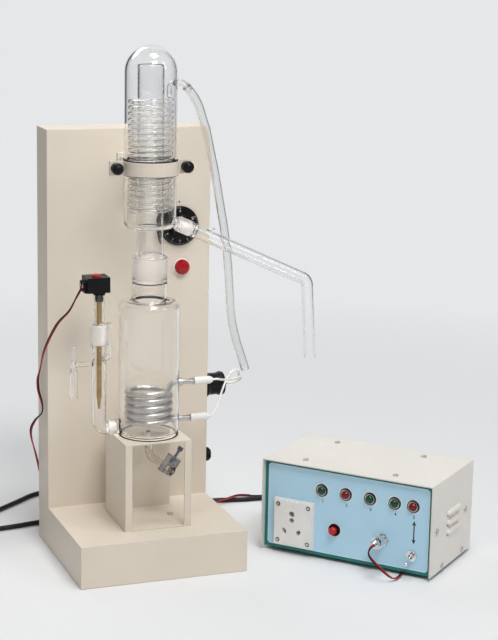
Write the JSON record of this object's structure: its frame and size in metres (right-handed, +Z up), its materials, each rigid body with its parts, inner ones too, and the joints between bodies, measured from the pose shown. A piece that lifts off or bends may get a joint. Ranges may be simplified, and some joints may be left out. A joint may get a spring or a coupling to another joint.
{
  "type": "glass water distiller",
  "caption": "Laboratory glass water distiller on a steel stand with a heated boiler, coil condenser, level sensor and a separate control unit.",
  "frame": {"origin": "on the bench, at the middle of the stand's width and below the front face of the column", "axes": "+X to the right seen from the front, +Y to the back, +Z up; the glass stands in front of the column on the -Y side"},
  "size_m": [0.8085, 0.5425, 0.726],
  "materials": {
    "ivory_paint": "satin powder coat",
    "pale_paint": "satin powder coat",
    "teal_paint": "satin",
    "panel_film": "matte printed film",
    "clear_glass": "clear borosilicate",
    "clear_hose": "clear flexible",
    "silicone": "translucent satin",
    "black_rubber": "matte",
    "black_lead": "satin PVC",
    "red_lead": "satin PVC, one core red and one black",
    "white_lead": "satin sleeving",
    "black_plastic": "moulded satin",
    "white_plastic": "moulded gloss",
    "grey_plastic": "moulded",
    "steel": "brushed",
    "zinc_steel": "zinc plated",
    "blued_steel": "dark nickel",
    "chrome": "polished",
    "brass": "dull",
    "green_lens": "clear coloured",
    "red_lens": "clear coloured"
  },
  "bodies": {
    "stand": {"stand_cabinet": "ivory_paint", "rear_cover": "ivory_paint", "base_plate": "zinc_steel", "stand_screws": "zinc_steel", "platform": "ivory_paint", "boiler_gasket": "black_rubber", "boiler": "clear_glass", "heater_coil": "steel", "heater_sleeves": "white_plastic", "heater_leads": "white_lead", "heater_plug": "black_plastic", "heater_socket": "black_plastic", "fuse_holder": "black_plastic", "level_tube": "clear_glass", "level_adapter": "clear_glass", "level_head": "black_plastic", "level_cap": "red_lens", "probe_rod": "brass", "condenser_jacket": "clear_glass", "condenser_coil": "clear_glass", "clamp_bracket": "ivory_paint", "clamp_liner": "black_rubber", "outlet_hose": "clear_hose", "energy_regulator": "grey_plastic", "pilot_lamp_body": "white_plastic", "pilot_lamp_lens": "red_lens", "drain_hose": "silicone", "clip_frame": "blued_steel", "cord_glands": "black_rubber", "stand_lead": "black_lead", "stand_lead_coil": "black_lead", "stand_plug": "black_plastic", "unit_chassis": "teal_paint", "unit_cover": "pale_paint", "unit_overlay": "panel_film", "unit_screws": "zinc_steel", "unit_feet": "black_rubber", "outlet_socket": "white_plastic", "panel_bezels": "black_plastic", "green_lenses": "green_lens", "red_lenses": "red_lens", "toggle_body": "chrome", "sensor_connector": "chrome", "sensor_plug": "chrome", "unit_lead": "black_lead", "unit_lead_coil": "black_lead", "unit_plug": "black_plastic", "sensor_lead": "red_lead"},
    "power_dial": {"power_dial": "black_plastic"},
    "fuse_cap": {"fuse_cap": "black_plastic"},
    "clamp_band": {"clamp_band": "ivory_paint"},
    "clamp_knob_left": {"clamp_knob_left": "black_plastic"},
    "clamp_knob_right": {"clamp_knob_right": "black_plastic"},
    "delivery_tube": {"delivery_tube": "clear_glass"},
    "clip_jaw": {"clip_jaw": "blued_steel"},
    "clip_screw": {"clip_screw": "blued_steel"},
    "reset_button": {"reset_button": "red_lens"},
    "toggle_lever": {"toggle_lever": "chrome"},
    "sensor_plug_ring": {"sensor_plug_ring": "chrome"}
  },
  "joints": [
    {"name": "power_dial_turn", "type": "hinge", "parent": "stand", "child": "power_dial", "pos_m": [0.0736, -0.005, 0.4642], "axis": [0, 1, 0], "range_deg": [0, 300]},
    {"name": "fuse_cap_turn", "type": "hinge", "parent": "stand", "child": "fuse_cap", "pos_m": [0.125, 0.0275, 0.111], "axis": [1, 0, 0], "range_deg": [0, 90]},
    {"name": "clamp_band_travel", "type": "slide", "parent": "stand", "child": "clamp_band", "axis": [0, -1, 0], "range_m": [0, 0.004]},
    {"name": "clamp_knob_left_turn", "type": "hinge", "parent": "clamp_band", "child": "clamp_knob_left", "pos_m": [-0.047, -0.095, 0.5615], "axis": [0, -1, 0], "range_deg": [0, 1440]},
    {"name": "clamp_knob_right_turn", "type": "hinge", "parent": "clamp_band", "child": "clamp_knob_right", "pos_m": [0.053, -0.095, 0.5615], "axis": [0, -1, 0], "range_deg": [0, 1440]},
    {"name": "delivery_swivel", "type": "hinge", "parent": "stand", "child": "delivery_tube", "pos_m": [0.0621, -0.086, 0.47374], "axis": [0.9092, 0, -0.4163], "range_deg": [-60, 60]},
    {"name": "clip_jaw_travel", "type": "slide", "parent": "stand", "child": "clip_jaw", "axis": [0.5852, 0.0365, 0.8101], "range_m": [0, 0.0049]},
    {"name": "clip_screw_turn", "type": "hinge", "parent": "clip_jaw", "child": "clip_screw", "pos_m": [0.01998, -0.12193, 0.14311], "axis": [0.5852, 0.0365, 0.8101], "range_deg": [0, 2520]},
    {"name": "reset_press", "type": "slide", "parent": "stand", "child": "reset_button", "axis": [0.749, 0.6626, 0], "range_m": [0, 0.003], "stiffness_N_per_m": 400, "springref_m": -0.001},
    {"name": "toggle_throw", "type": "hinge", "parent": "stand", "child": "toggle_lever", "pos_m": [0.32744, -0.27312, 0.0313], "axis": [-0.6626, 0.749, 0], "range_deg": [0, 40]},
    {"name": "sensor_ring_turn", "type": "hinge", "parent": "stand", "child": "sensor_plug_ring", "pos_m": [0.29116, -0.24419, 0.0471], "axis": [-0.749, -0.6626, 0], "range_deg": [0, 360]}
  ],
  "couplings": [
    {"joint": "clamp_knob_left_turn", "follows": "clamp_band_travel", "rad_per_m": 6283.2},
    {"joint": "clamp_knob_right_turn", "follows": "clamp_band_travel", "rad_per_m": 6283.2},
    {"joint": "clip_screw_turn", "follows": "clip_jaw_travel", "rad_per_m": 8976}
  ]
}
